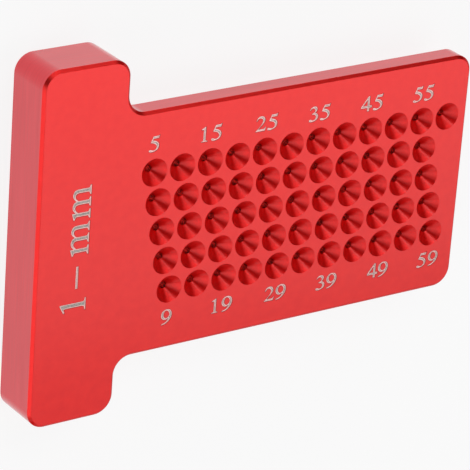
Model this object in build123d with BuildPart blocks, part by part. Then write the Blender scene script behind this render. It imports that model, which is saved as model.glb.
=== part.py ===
from build123d import *
import os

# A small marking T-square, milled from one block of aluminium.
# Frame: X runs out along the blade, Y along the fence and Z out of the numbered face.
# The origin is the zero of the scale, where the guide face of the fence, the underside
# of the blade and the middle row of marking holes meet.

# Scale, in millimetres
scale_length = 60.0  # what the last hole of the first row marks
first_mark = 5.0  # what the first hole of the first row marks
hole_pitch = 5.0  # from one hole of a row to the next
row_count = 5
row_step = 1.0  # how much further out a row starts than the row before it
row_spacing = 5.0

# Blade, the thin plate that lies on the work
blade_thickness = 4.0
end_margin = 4.0  # from the last mark to the end of the blade
side_margin = 10.0  # from an outer row to the edge, with the numbers between them

# Fence, the thick bar whose lip hooks over the edge of the work
fence_width = 15.0
fence_overhang = 9.0  # how far it reaches past the blade on each side
lip_depth = 5.0  # below the underside of the blade

# Corners and edges
corner_radius = 3.0
inner_corner_radius = 3.0
edge_chamfer = 0.45

# Marking hole, a cone that leads the point of a pencil into a small through hole
cone_diameter = 4.5
cone_angle = 90.0
tip_hole_diameter = 1.1

# Sizes that follow from these
blade_length = scale_length + end_margin
blade_width = (row_count - 1) * row_spacing + 2 * side_margin
fence_length = blade_width + 2 * fence_overhang
first_row_y = (row_count - 1) * row_spacing / 2


with BuildPart() as t_square:
    # The flush T. Blade and fence share the numbered face, and both of its outlines,
    # front and back, are chamfered all the way round.
    with BuildSketch(Plane.XY.offset(blade_thickness)) as t_outline:
        RectangleRounded(
            fence_width, fence_length, corner_radius, align=(Align.MAX, Align.CENTER)
        )
        Rectangle(blade_length, blade_width, align=(Align.MIN, Align.CENTER))
        blade_end = t_outline.vertices().group_by(Axis.X)[-1]
        fillet(blade_end, corner_radius)
        blade_root = t_outline.vertices().sort_by_distance((0, 0))[:2]
        fillet(blade_root, inner_corner_radius)
    extrude(amount=-blade_thickness)
    chamfer(t_square.faces().filter_by(Axis.Z).edges(), edge_chamfer)

    # The lip carries the fence on below the blade. It starts above the plate's lower
    # chamfer, so that the fence's walls are plain from the front chamfer to the foot.
    with BuildSketch(Plane.XY.offset(edge_chamfer)):
        RectangleRounded(
            fence_width, fence_length, corner_radius, align=(Align.MAX, Align.CENTER)
        )
    extrude(amount=-(edge_chamfer + lip_depth))
    foot = t_square.faces().sort_by(Axis.Z)[0]
    chamfer(foot.edges(), edge_chamfer)

    # The marking holes. Each row starts one step further out than the row before it, so
    # together the rows mark every whole millimetre of the scale.
    for row in range(row_count):
        row_start = first_mark + row * row_step
        row_y = first_row_y - row * row_spacing
        hole_count = int((scale_length - row_start) // hole_pitch) + 1
        marks = [row_start + hole * hole_pitch for hole in range(hole_count)]
        with Locations([(mark, row_y, blade_thickness) for mark in marks]):
            CounterSinkHole(
                tip_hole_diameter / 2,
                cone_diameter / 2,
                counter_sink_angle=cone_angle,
            )

t_square.part.label = "t_square"

os.makedirs("parts", exist_ok=True)
export_step(t_square.part, "parts/t_square.step")
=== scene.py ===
from math import acos, cos, degrees, pi, radians, sin, tan

import bmesh
import bpy
from mathutils import Euler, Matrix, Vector
from mathutils.geometry import delaunay_2d_cdt, interpolate_bezier, intersect_point_line


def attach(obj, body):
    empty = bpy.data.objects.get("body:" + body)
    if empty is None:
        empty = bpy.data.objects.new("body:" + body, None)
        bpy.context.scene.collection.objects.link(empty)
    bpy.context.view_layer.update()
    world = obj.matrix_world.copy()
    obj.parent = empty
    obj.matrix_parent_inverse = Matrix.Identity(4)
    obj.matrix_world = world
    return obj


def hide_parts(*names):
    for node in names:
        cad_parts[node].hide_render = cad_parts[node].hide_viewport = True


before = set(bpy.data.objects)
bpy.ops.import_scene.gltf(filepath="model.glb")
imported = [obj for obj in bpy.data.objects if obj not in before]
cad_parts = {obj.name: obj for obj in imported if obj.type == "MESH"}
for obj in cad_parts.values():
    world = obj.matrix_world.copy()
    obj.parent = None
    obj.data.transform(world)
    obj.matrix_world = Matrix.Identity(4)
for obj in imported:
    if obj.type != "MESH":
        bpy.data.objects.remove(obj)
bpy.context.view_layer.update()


# The T: a thin blade and a thick fence milled from one block of aluminium, so that both
# share the numbered face. Every outline has a machined chamfer, and the edges of the
# chamfers are just broken, as tumbling leaves them.
mm = 0.001
blade_length = 64
blade_half = 20
fence_width = 15
fence_half = 29
face_z = 4
foot_z = -5
corner_radius = 3
chamfer = 0.45
edge_break = 0.06
flat_finish, side_finish, edge_finish, turned_finish = range(4)
painted_hole_shade_finish, engraved_finish, edge_highlight_finish, dark_rim_shade_finish = range(4, 8)

body = bmesh.new()
shading = body.verts.layers.float_vector.new("surface_normal")
flat_faces = body.faces.layers.int.new("is_flat")


def arc(x, y, radius, start, end, side=1, steps=12):
    """Points of an arc in degrees, each with the direction that faces out of the metal."""
    angles = [radians(start + (end - start) * i / steps) for i in range(steps + 1)]
    return [
        (x + radius * cos(a), y + radius * sin(a), side * cos(a), side * sin(a))
        for a in angles
    ]


def blade_outline(inset, stops_at_fence=False):
    """From the fence's guide face round the blade and back, moved in by inset."""
    root = corner_radius + inset
    turn = degrees(acos(corner_radius / root)) if stops_at_fence else 0
    root_y = blade_half + corner_radius
    end_x = blade_length - corner_radius
    end_y = blade_half - corner_radius
    outer = corner_radius - inset
    return (
        arc(corner_radius, -root_y, root, 180 - turn, 90, side=-1)
        + arc(end_x, -end_y, outer, -90, 0)
        + arc(end_x, end_y, outer, 0, 90)
        + arc(corner_radius, root_y, root, 270, 180 + turn, side=-1)
    )


def fence_outline(inset):
    """From the guide face above the blade round the back of the fence to below it."""
    outer = corner_radius - inset
    front_x = -corner_radius
    back_x = corner_radius - fence_width
    end_y = fence_half - corner_radius
    return (
        arc(front_x, end_y, outer, 0, 90)
        + arc(back_x, end_y, outer, 90, 180)
        + arc(back_x, -end_y, outer, 180, 270)
        + arc(front_x, -end_y, outer, 270, 360)
    )


def broken_edge(inset, z, lean_from, lean_to, radius=edge_break, steps=3):
    """Rounds one edge of the section. Lean is the surface's angle from the face's."""
    first, last = radians(lean_from), radians(lean_to)
    reach = radius / (1 + cos(last - first))
    middle_inset = inset + reach * (sin(first) + sin(last))
    middle_z = z - reach * (cos(first) + cos(last))
    leans = [first + (last - first) * i / steps for i in range(steps + 1)]
    return [
        (middle_inset - radius * sin(a), middle_z + radius * cos(a), a) for a in leans
    ]


def row(outline, z, lean):
    """One row of vertices round an outline."""
    made = []
    for x, y, out_x, out_y in outline:
        vertex = body.verts.new((x * mm, y * mm, z * mm))
        vertex[shading] = (out_x * sin(lean), out_y * sin(lean), cos(lean))
        made.append(vertex)
    return made


def skin(rows, closed=True, finish=flat_finish, flat=False):
    """Faces between each row and the next."""
    for upper, lower in zip(rows, rows[1:]):
        count = len(upper)
        for i in range(count if closed else count - 1):
            j = (i + 1) % count
            face = body.faces.new((upper[i], lower[i], lower[j], upper[j]))
            face.material_index = finish
            face[flat_faces] = flat


def fill(loops, finish=flat_finish, middle=(), middle_finish=flat_finish):
    """Fills the level region inside the first closed row, and leaves open the holes that
    the others make in it. A row inside a hole is filled again, as in the eye of a 9.
    Faces whose corners are all among the vertices of the middle get its finish."""
    corners = [vertex for loop in loops for vertex in loop]
    border_count = len(corners)
    corners += middle
    edges = []
    for loop in loops:
        start = len(edges)
        edges += [(start + i, start + (i + 1) % len(loop)) for i in range(len(loop))]
    inside = 1
    points, _, found, sources, _, _ = delaunay_2d_cdt(
        [vertex.co.xy / mm for vertex in corners], edges, [], inside, 1e-7
    )
    triangles = [[sources[i][0] for i in triangle] for triangle in found]
    sides = {}
    for number, triangle in enumerate(triangles):
        for i in range(3):
            sides.setdefault(frozenset((triangle[i - 1], triangle[i])), []).append(number)
    borders = {frozenset(edge) for edge in edges}
    metal = {sides[frozenset(edges[0])][0]: True}
    waiting = list(metal)
    while waiting:
        here = waiting.pop()
        triangle = triangles[here]
        for i in range(3):
            side = frozenset((triangle[i - 1], triangle[i]))
            for beside in sides[side]:
                if beside not in metal:
                    metal[beside] = metal[here] != (side in borders)
                    waiting.append(beside)
    for number, triangle in enumerate(triangles):
        if metal[number]:
            face = body.faces.new([corners[i] for i in triangle])
            at_border = min(triangle) < border_count
            face.material_index = finish if at_border else middle_finish
            face[flat_faces] = True


top_section = broken_edge(chamfer, face_z, 0, 45) + broken_edge(
    0, face_z - chamfer, 45, 90
)
blade_section = broken_edge(0, chamfer, 90, 135) + broken_edge(chamfer, 0, 135, 180)
foot_section = broken_edge(0, foot_z + chamfer, 90, 135) + broken_edge(
    chamfer, foot_z, 135, 180
)

top_rows = [
    row(blade_outline(inset) + fence_outline(inset), z, lean)
    for inset, z, lean in top_section
]
skin(top_rows, finish=edge_finish)

wall_top = top_section[-1]
blade_rows = [
    row(blade_outline(inset, stops_at_fence=True), z, lean)
    for inset, z, lean in [wall_top] + blade_section
]
skin(blade_rows[:2], closed=False, finish=side_finish)
skin(blade_rows[1:], closed=False, finish=edge_finish)

fence_rows = [
    row(fence_outline(inset), z, lean) for inset, z, lean in [wall_top] + foot_section
]
skin(fence_rows[:2], closed=False, finish=side_finish)
skin(fence_rows[1:], finish=edge_finish)
fill(fence_rows[-1:])

guide_face = body.faces.new(
    [r[0] for r in blade_rows]
    + [r[-1] for r in reversed(blade_rows)]
    + [fence_rows[0][0], fence_rows[1][0], fence_rows[1][-1], fence_rows[0][-1]]
)
guide_face[flat_faces] = True
guide_face.material_index = side_finish


# The marking holes: cones turned with a countersink, each down to a small through hole
# that takes the point of a pencil. A row starts 1 mm further out than the row before it,
# so together the five rows mark every millimetre up to 60.
scale_length = 60
row_heights = (10, 5, 0, -5, -10)
first_mark = 5
pitch = 5
cone_radius = 2.25
tip_radius = 0.55
round_steps = 64

hole_section = (
    broken_edge(cone_radius, face_z, 0, 45, radius=0.05)
    + broken_edge(tip_radius, face_z - (cone_radius - tip_radius), 45, 90, radius=0.03)
    + broken_edge(tip_radius, 0, 90, 180, radius=0.05, steps=4)
)
cone_rows = 6
rims = []
mouths = []
for number, height in enumerate(row_heights):
    for mark in range(first_mark + number, scale_length + 1, pitch):
        hole_rows = [
            row(arc(mark, height, radius, 0, 360, side=-1, steps=round_steps)[:-1], z, lean)
            for radius, z, lean in hole_section
        ]
        skin(hole_rows[: cone_rows + 1], finish=turned_finish)
        # The small through hole's wall is painted dark as shade deep in the hole, with a
        # bright speckle as painted glints.
        skin(hole_rows[cone_rows:], finish=painted_hole_shade_finish)
        rims.append(hole_rows[0])
        mouths.append(hole_rows[-1])

fill([blade_rows[-1]] + mouths)


# The numbers and the unit mark, engraved by laser through the dyed skin. The beam hatches
# the floor down to grey bare metal. A bright band along the floor's edge is a painted
# highlight, and the dark rim round the cut and the cut's walls are painted shade.
# They are drawn as outlines of a plain roman letter, 100 units tall.
engraving_depth = 0.05
K = "corner"
letters = {
    "1": [
        [
            (32, 100, K), (32, 12, K), (35, 6), (46, 3, K), (46, 0, K), (2, 0, K),
            (2, 3, K), (14, 6), (17, 12, K), (17, 78), (14, 84), (3, 81, K),
            (1, 85, K), (29, 100, K),
        ],
    ],
    "2": [
        [
            (1, 3, K), (1, 0, K), (68, 0, K), (77, 22, K), (73, 23, K), (66, 14),
            (54, 12), (18, 12, K), (36, 30), (59, 53), (68, 74), (58, 93), (36, 100),
            (14, 93), (3, 73, K), (7, 71, K), (17, 84), (31, 88), (47, 82), (53, 68),
            (44, 46), (26, 25),
        ],
    ],
    "3": [
        [
            (4, 80, K), (16, 95), (35, 100), (53, 94), (60, 80), (54, 66), (43, 57, K),
            (60, 47), (69, 30), (59, 9), (30, -2), (8, -1), (1, 6), (5, 12), (16, 11),
            (31, 5), (47, 12), (54, 27), (46, 42), (22, 48, K), (22, 52, K), (38, 58),
            (46, 73), (40, 85), (28, 89), (16, 86), (8, 77, K),
        ],
    ],
    "4": [
        [
            (64, 100, K), (64, 36, K), (82, 36, K), (82, 23, K), (64, 23, K),
            (64, 0, K), (49, 0, K), (49, 23, K), (0, 23, K), (0, 34, K), (53, 100, K),
        ],
        [(49, 36, K), (49, 80, K), (12, 36, K)],
    ],
    "5": [
        [
            (26, 99, K), (60, 99, K), (71, 104, K), (65, 85, K), (27, 85, K),
            (21, 73, K), (46, 65), (64, 51), (69, 33), (58, 10), (24, -3), (4, -1),
            (-3, 6), (2, 12), (13, 10), (29, 5), (47, 12), (54, 29), (44, 46),
            (25, 55), (8, 59, K),
        ],
    ],
    "9": [
        [
            (39, 100), (12, 90), (0, 63), (9, 39), (33, 29), (56, 39, K), (40, 14),
            (5, 0, K), (6, -5, K), (35, 2), (66, 26), (79, 61), (68, 90),
        ],
        [(40, 93), (57, 80), (62, 58), (40, 38), (23, 46), (17, 65), (24, 86)],
    ],
    "m": [
        [
            (4, 0, K), (4, 3, K), (14, 8, K), (14, 54, K), (3, 60, K), (3, 63, K),
            (27, 70, K), (27, 56, K), (40, 67), (52, 69), (65, 64), (69, 54, K),
            (83, 67), (95, 69), (108, 63), (112, 48), (112, 8, K), (122, 3, K),
            (122, 0, K), (89, 0, K), (89, 3, K), (99, 8, K), (99, 46), (96, 56),
            (87, 60), (77, 56), (70, 48, K), (70, 8, K), (80, 3, K), (80, 0, K),
            (47, 0, K), (47, 3, K), (57, 8, K), (57, 46), (54, 56), (45, 60),
            (35, 56), (27, 48, K), (27, 8, K), (37, 3, K), (37, 0, K),
        ],
    ],
    "-": [[(0, 35, K), (80, 35, K), (80, 43, K), (0, 43, K)]],
}


def drawn(points, steps=5):
    """A letter's outline as a closed run of points, smooth but at its corners."""
    loop = []
    for i, here in enumerate(points):
        before, after = points[i - 1], points[(i + 1) % len(points)]
        beyond = points[(i + 2) % len(points)]
        a, b = Vector(here[:2]), Vector(after[:2])
        if K in here and K in after:
            loop.append(a)
            continue
        reach = (b - a).length / 3
        leaving = (b - a) if K in here else b - Vector(before[:2])
        coming = (a - b) if K in after else a - Vector(beyond[:2])
        loop += interpolate_bezier(
            a, a + reach * leaving.normalized(), b + reach * coming.normalized(), b, steps + 1
        )[:-1]
    return loop


def gap(point, loop):
    """How far a point is from a closed run of points."""
    nearest = []
    for a, b in zip(loop, loop[1:] + loop[:1]):
        _, share = intersect_point_line(point, a, b)
        closest = a.lerp(b, min(max(share, 0), 1))
        nearest.append((point - closest).length)
    return min(nearest)


def bolder(loop, outline, weight):
    """Moves a loop of a letter out of its strokes, so that they gain weight on each side."""
    corners = zip(outline, outline[1:] + outline[:1])
    turning = sum(a.x * b.y - a.y * b.x for a, b in corners)
    side = 1 if turning > 0 else -1
    moved = []
    for i, point in enumerate(loop):
        before = (point - loop[i - 1]).normalized()
        after = (loop[(i + 1) % len(loop)] - point).normalized()
        out = side * Vector((before.y + after.y, -before.x - after.x))
        moved.append(point + weight * out / max(1 + before.dot(after), 0.15))
    return [point for point in moved if gap(point, loop) > 0.995 * weight]


cuts = []
stroke_gain = 0.022
shade_rim_width = 0.045
highlight_width = 0.085
hatch_step = 0.06
hatch_height = 110


def engrave(letter, x, y, height, turned=False):
    """Cuts one letter whose lower left corner is at x, y."""
    unit = height / 100
    loops = [drawn(points) for points in letters[letter]]

    def placed(points, z):
        points = [unit * point for point in points]
        if turned:
            points = [Vector((-point.y, point.x)) for point in points]
        return row([(x + point.x, y + point.y, 0, 0) for point in points], z, 0)

    floor_z = face_z - engraving_depth
    floor = []
    for loop in loops:
        edge_line = bolder(loop, loops[0], stroke_gain / unit)
        shade_rim_line = bolder(loop, loops[0], (stroke_gain + shade_rim_width) / unit)
        shade_rim, edge = placed(shade_rim_line, face_z), placed(edge_line, face_z)
        bottom = placed(edge_line, floor_z)
        # The rim round the cut on the face and the cut's walls are dark: painted shade at the
        # engraving's edge.
        fill([shade_rim, edge] if loop is loops[0] else [edge, shade_rim], dark_rim_shade_finish)
        skin([edge, bottom], finish=dark_rim_shade_finish, flat=True)
        cuts.append(shade_rim)
        floor.append(bottom)

    step = hatch_step / unit
    width = max(point.x for point in loops[0])
    hatched = []
    for i in range(int(width / step)):
        for j in range(int(hatch_height / step)):
            point = Vector(((i + 0.5 + 0.5 * (j % 2)) * step, (j - 2) * step))
            if all(gap(point, loop) > highlight_width / unit for loop in loops):
                hatched.append(point)
    middle = placed(hatched, floor_z)
    # The band of the floor along its edge, where no hatch points lie, is a painted highlight;
    # the middle is grey bare metal.
    fill(floor, edge_highlight_finish, middle, engraved_finish)
    outside = [vertex for vertex in middle if not vertex.link_faces]
    bmesh.ops.delete(body, geom=outside, context="VERTS")


number_height = 2.42
upper_numbers = {
    3.84: "5", 13.05: "1", 14.98: "5", 22.98: "2", 25.22: "5", 32.88: "3",
    35.05: "5", 42.78: "4", 45.15: "5", 52.95: "5", 55.12: "5",
}
lower_numbers = {
    7.9: "9", 17.2: "1", 19.05: "9", 27.08: "2", 29.2: "9", 36.95: "3",
    38.98: "9", 47.0: "4", 49.12: "9", 56.98: "5", 59.12: "9",
}
upper_line = 13.5
lower_line = -15.85
for x, digit in upper_numbers.items():
    engrave(digit, x, upper_line, number_height)
for x, digit in lower_numbers.items():
    engrave(digit, x, lower_line, number_height)

mark_height = 4.5
mark_line = -5.95
unit_mark = {-10.4: "1", -6.6: "-", -1.3: "m", 4.55: "m"}
for y, letter in unit_mark.items():
    engrave(letter, mark_line, y, mark_height, turned=True)

fill([top_rows[0]] + rims + cuts)

bmesh.ops.remove_doubles(body, verts=body.verts, dist=1e-4 * mm)
bmesh.ops.recalc_face_normals(body, faces=body.faces)
bmesh.ops.triangulate(body, faces=[guide_face])
mesh = bpy.data.meshes.new("marking_t_square")
body.to_mesh(mesh)
body.free()
t_square = bpy.data.objects.new("marking_t_square", mesh)
bpy.context.collection.objects.link(t_square)

mesh.shade_smooth()
leans = [a.vector.copy() for a in mesh.attributes["surface_normal"].data]
flats = [a.value for a in mesh.attributes["is_flat"].data]
normals = [None] * len(mesh.loops)
for face in mesh.polygons:
    for i in face.loop_indices:
        corner = mesh.loops[i].vertex_index
        normals[i] = face.normal.copy() if flats[face.index] else leans[corner]
mesh.normals_split_custom_set(normals)
mesh.attributes.remove(mesh.attributes["surface_normal"])
mesh.attributes.remove(mesh.attributes["is_flat"])


# The skin of the metal: etched to a satin grain, anodised, dyed red and sealed. The clear
# oxide over the metal gives it its whitish gloss at low angles.
def new_material(name):
    """A material with an empty node tree but for its shader, and the shader."""
    material = bpy.data.materials.new(name)
    material.use_nodes = True
    tree = material.node_tree
    shader = tree.nodes["Principled BSDF"]
    return material, tree, shader


def satin_grain():
    """Group: the grain of an etched and anodised skin, as height and as a mask, and the
    faint streaks that a side mill leaves along the edges of the plate."""
    group = bpy.data.node_groups.new("anodised grain", "ShaderNodeTree")
    sockets = group.interface
    for name, value in (("Grain per metre", 9000.0), ("Cloud per metre", 700.0)):
        socket = sockets.new_socket(name, in_out="INPUT", socket_type="NodeSocketFloat")
        socket.default_value = value
    for name in ("Height", "Cloud", "Streak"):
        sockets.new_socket(name, in_out="OUTPUT", socket_type="NodeSocketFloat")
    nodes, links = group.nodes, group.links
    inputs = nodes.new("NodeGroupInput")
    outputs = nodes.new("NodeGroupOutput")
    place = nodes.new("ShaderNodeTexCoord")
    grain = nodes.new("ShaderNodeTexNoise")
    grain.inputs["Detail"].default_value = 3.0
    cloud = nodes.new("ShaderNodeTexNoise")
    cloud.inputs["Detail"].default_value = 4.0
    links.new(place.outputs["Object"], grain.inputs["Vector"])
    links.new(place.outputs["Object"], cloud.inputs["Vector"])
    links.new(inputs.outputs["Grain per metre"], grain.inputs["Scale"])
    links.new(inputs.outputs["Cloud per metre"], cloud.inputs["Scale"])
    links.new(grain.outputs["Fac"], outputs.inputs["Height"])
    links.new(cloud.outputs["Fac"], outputs.inputs["Cloud"])
    stretched = nodes.new("ShaderNodeMapping")
    stretched.inputs["Scale"].default_value = (70, 70, 2600)
    streak = nodes.new("ShaderNodeTexNoise")
    streak.inputs["Scale"].default_value = 1.0
    streak.inputs["Detail"].default_value = 3.0
    links.new(place.outputs["Object"], stretched.inputs["Vector"])
    links.new(stretched.outputs["Vector"], streak.inputs["Vector"])
    links.new(streak.outputs["Fac"], outputs.inputs["Streak"])
    return group


grain_group = satin_grain()


def use_grain(tree, grain_per_metre, cloud_per_metre):
    node = tree.nodes.new("ShaderNodeGroup")
    node.node_tree = grain_group
    node.inputs["Grain per metre"].default_value = grain_per_metre
    node.inputs["Cloud per metre"].default_value = cloud_per_metre
    return node


def ramp(tree, source, low, high, target, low_at=0.3, high_at=0.7):
    """Maps a mask to a range of values."""
    node = tree.nodes.new("ShaderNodeMapRange")
    node.inputs["From Min"].default_value = low_at
    node.inputs["From Max"].default_value = high_at
    node.inputs["To Min"].default_value = low
    node.inputs["To Max"].default_value = high
    tree.links.new(source, node.inputs["Value"])
    tree.links.new(node.outputs["Result"], target)


def blend_colours(tree, mask, first, second, target, low_at=0.3, high_at=0.7):
    node = tree.nodes.new("ShaderNodeMix")
    node.data_type = "RGBA"
    node.inputs["A"].default_value = (*first, 1)
    node.inputs["B"].default_value = (*second, 1)
    ramp(tree, mask, 0, 1, node.inputs["Factor"], low_at, high_at)
    tree.links.new(node.outputs["Result"], target)


def bump(tree, height, distance):
    node = tree.nodes.new("ShaderNodeBump")
    node.inputs["Distance"].default_value = distance
    tree.links.new(height, node.inputs["Height"])
    return node


def set_clear_skin(shader, weight, roughness):
    shader.inputs["Metallic"].default_value = 1.0
    shader.inputs["Coat Weight"].default_value = weight
    shader.inputs["Coat Roughness"].default_value = roughness
    shader.inputs["Coat IOR"].default_value = 1.6


satin, tree, shader = new_material("anodised satin")
grain = use_grain(tree, 9000, 700)
blend_colours(
    tree,
    grain.outputs["Cloud"],
    (0.805, 0.003, 0.003),
    (0.855, 0.006, 0.004),
    shader.inputs["Base Color"],
)
ramp(tree, grain.outputs["Cloud"], 0.38, 0.44, shader.inputs["Roughness"])
relief = bump(tree, grain.outputs["Height"], 0.004 * mm)
tree.links.new(relief.outputs["Normal"], shader.inputs["Normal"])
set_clear_skin(shader, 1.0, 0.13)

side, tree, shader = new_material("anodised milled side")
grain = use_grain(tree, 9000, 700)
blend_colours(
    tree,
    grain.outputs["Streak"],
    (0.64, 0.002, 0.015),
    (0.76, 0.005, 0.022),
    shader.inputs["Base Color"],
)
ramp(tree, grain.outputs["Streak"], 0.36, 0.46, shader.inputs["Roughness"])
ramp(tree, grain.outputs["Streak"], 0.8, 1.0, shader.inputs["Coat Weight"])
set_clear_skin(shader, 0.9, 0.15)

cut_edge, tree, shader = new_material("anodised cut edge")
grain = use_grain(tree, 9000, 700)
blend_colours(
    tree,
    grain.outputs["Cloud"],
    (0.80, 0.022, 0.020),
    (0.85, 0.026, 0.025),
    shader.inputs["Base Color"],
)
shader.inputs["Roughness"].default_value = 0.38
shader.inputs["Specular Tint"].default_value = (0.5, 0.05, 0.05, 1)
set_clear_skin(shader, 0.2, 0.13)

turned, tree, shader = new_material("anodised turned")
grain = use_grain(tree, 9000, 2500)
blend_colours(
    tree,
    grain.outputs["Cloud"],
    (0.80, 0.003, 0.003),
    (0.92, 0.006, 0.005),
    shader.inputs["Base Color"],
)
shader.inputs["Roughness"].default_value = 0.47
set_clear_skin(shader, 0.55, 0.24)

# The through hole's wall: a near black red painted as the shade deep in the hole, broken by a
# coarse speckle of bright red painted as glints.
painted_hole_shade, tree, shader = new_material("drilled hole, painted shade and glints")
grain = use_grain(tree, 9000, 4500)
blend_colours(
    tree,
    grain.outputs["Cloud"],
    (0.10, 0.001, 0.001),
    (1.0, 0.03, 0.02),
    shader.inputs["Base Color"],
    low_at=0.4,
    high_at=0.6,
)
shader.inputs["Roughness"].default_value = 0.5
shader.inputs["Metallic"].default_value = 1.0

bare, tree, shader = new_material("engraved bare metal")
grain = use_grain(tree, 12000, 3500)
blend_colours(
    tree,
    grain.outputs["Cloud"],
    (0.24, 0.22, 0.20),
    (0.54, 0.48, 0.44),
    shader.inputs["Base Color"],
)
shader.inputs["Metallic"].default_value = 0.85
shader.inputs["Roughness"].default_value = 0.45

# A painted highlight: a bright pink band along the edge of the engraving's floor.
painted_edge_highlight, tree, shader = new_material("painted highlight along the engraving's floor")
grain = use_grain(tree, 12000, 3500)
blend_colours(
    tree,
    grain.outputs["Cloud"],
    (1.0, 0.50, 0.48),
    (1.0, 0.70, 0.68),
    shader.inputs["Base Color"],
)
shader.inputs["Metallic"].default_value = 1
shader.inputs["Roughness"].default_value = 0.4

# Painted shade: a near black red on the rim round the engraving and on its walls.
painted_rim_shade, tree, shader = new_material("painted shade round the engraving")
grain = use_grain(tree, 12000, 1500)
blend_colours(
    tree,
    grain.outputs["Cloud"],
    (0.16, 0.012, 0.010),
    (0.24, 0.02, 0.015),
    shader.inputs["Base Color"],
)
shader.inputs["Metallic"].default_value = 0.3
shader.inputs["Roughness"].default_value = 0.7

for material in (satin, side, cut_edge, turned, painted_hole_shade, bare, painted_edge_highlight, painted_rim_shade):
    mesh.materials.append(material)

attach(t_square, "root")
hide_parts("t_square")


# The floor: a wide sheet of pale card that the fence stands on. It looks white to the
# camera and in reflections, and keeps the part's soft shadow.
floor_mesh = bpy.data.meshes.new("floor")
reach = 3.0
floor_z = foot_z * mm
white_share = 0.86
floor_mesh.from_pydata(
    [
        (-reach, -reach, floor_z),
        (reach, -reach, floor_z),
        (reach, reach, floor_z),
        (-reach, reach, floor_z),
    ],
    [],
    [(0, 1, 2, 3)],
)
floor = bpy.data.objects.new("floor", floor_mesh)
bpy.context.collection.objects.link(floor)
card, tree, shader = new_material("white card")
shader.inputs["Base Color"].default_value = (0.93, 0.93, 0.93, 1)
shader.inputs["Roughness"].default_value = 0.9
shader.inputs["Specular IOR Level"].default_value = 0.0
glow = tree.nodes.new("ShaderNodeEmission")
ray = tree.nodes.new("ShaderNodeLightPath")
seen = tree.nodes.new("ShaderNodeMath")
tree.links.new(ray.outputs["Is Camera Ray"], seen.inputs[0])
tree.links.new(ray.outputs["Is Glossy Ray"], seen.inputs[1])
seen_at_all = tree.nodes.new("ShaderNodeMath")
tree.links.new(seen.outputs["Value"], seen_at_all.inputs[0])
tree.links.new(ray.outputs["Is Transmission Ray"], seen_at_all.inputs[1])
share = tree.nodes.new("ShaderNodeMath")
share.operation = "MULTIPLY"
share.inputs[1].default_value = white_share
tree.links.new(seen_at_all.outputs["Value"], share.inputs[0])
blend = tree.nodes.new("ShaderNodeMixShader")
tree.links.new(share.outputs["Value"], blend.inputs["Fac"])
tree.links.new(shader.outputs["BSDF"], blend.inputs[1])
tree.links.new(glow.outputs["Emission"], blend.inputs[2])
surface = tree.nodes["Material Output"].inputs["Surface"]
tree.links.new(blend.outputs["Shader"], surface)
floor_mesh.materials.append(card)


# The studio: a dim room with flat soft panels hung level over the far side of the part, and
# plain soft boxes round it: low and high to the left and behind it, one in front, and a
# low one at the far side, which lights the face as seen from low down.
world = bpy.data.worlds.new("studio")
world.use_nodes = True
world.node_tree.nodes["Background"].inputs["Color"].default_value = (1, 1, 1, 1)
world.node_tree.nodes["Background"].inputs["Strength"].default_value = 0.03
bpy.context.scene.world = world
box_distance = 0.9
panel_height = 0.7


def soft_light(name, place, size, radiance):
    """A square lamp that shines down until it is turned."""
    lamp = bpy.data.lights.new(name, "AREA")
    lamp.shape = "RECTANGLE"
    lamp.size, lamp.size_y = size
    lamp.energy = radiance * pi * lamp.size * lamp.size_y
    light = bpy.data.objects.new(name, lamp)
    light.location = place
    bpy.context.collection.objects.link(light)
    return light


def panel(name, x_from, x_to, y_from, y_to, radiance):
    place = ((x_from + x_to) / 2, (y_from + y_to) / 2, panel_height)
    soft_light(name, place, (x_to - x_from, y_to - y_from), radiance)


def soft_box(name, bearing, height, width, tall, radiance):
    """A soft box that faces the part. Its place and its size are degrees as seen from the
    part: the bearing from the blade's direction, the height above the floor."""
    across = cos(radians(height))
    away = Vector(
        (across * cos(radians(bearing)), across * sin(radians(bearing)), sin(radians(height)))
    )
    place = Vector((0.025, 0, 0)) + box_distance * away
    size = [2 * box_distance * tan(radians(angle / 2)) for angle in (width, tall)]
    light = soft_light(name, place, size, radiance)
    light.rotation_euler = away.to_track_quat("Z", "Y").to_euler()


panel("key panel", 0.25, 0.9, -0.42, -0.2, 0.93)
panel("right panel", 0.25, 0.9, -0.2, 0.1, 2.8)
panel("overhead panel", 0.05, 0.25, -0.42, -0.1, 2.33)
panel("front panel", 0.2, 0.9, -0.85, -0.42, 0.5)
soft_box("left low box", 200, 8, 50, 16, 2.5)
soft_box("left box", 205, 28, 50, 24, 1.2)
soft_box("left high box", 195, 48, 44, 22, 0.55)
soft_box("back low box", 90, 8, 70, 16, 3.0)
soft_box("back box", 95, 30, 66, 24, 0.46)
soft_box("back high box", 85, 48, 40, 16, 2.67)
soft_box("front box", 270, 25, 60, 30, 0.96)
soft_box("far low box", 321, 13, 70, 18, 0.7)


# The camera stands high to the upper left of the part, far away behind a long lens. Its
# place was worked out from the rims of the holes.
camera = bpy.data.cameras.new("camera")
camera.sensor_width = 36
camera.lens = 242.2
camera.clip_start = 0.01
camera.clip_end = 20
view = bpy.data.objects.new("camera", camera)
view.location = (-0.23763, 0.19306, 0.36566)
view.rotation_euler = Euler([radians(a) for a in (-26.5187, -33.6894, 4.7426)])
bpy.context.collection.objects.link(view)
bpy.context.scene.camera = view
bpy.context.scene.view_settings.view_transform = "Standard"
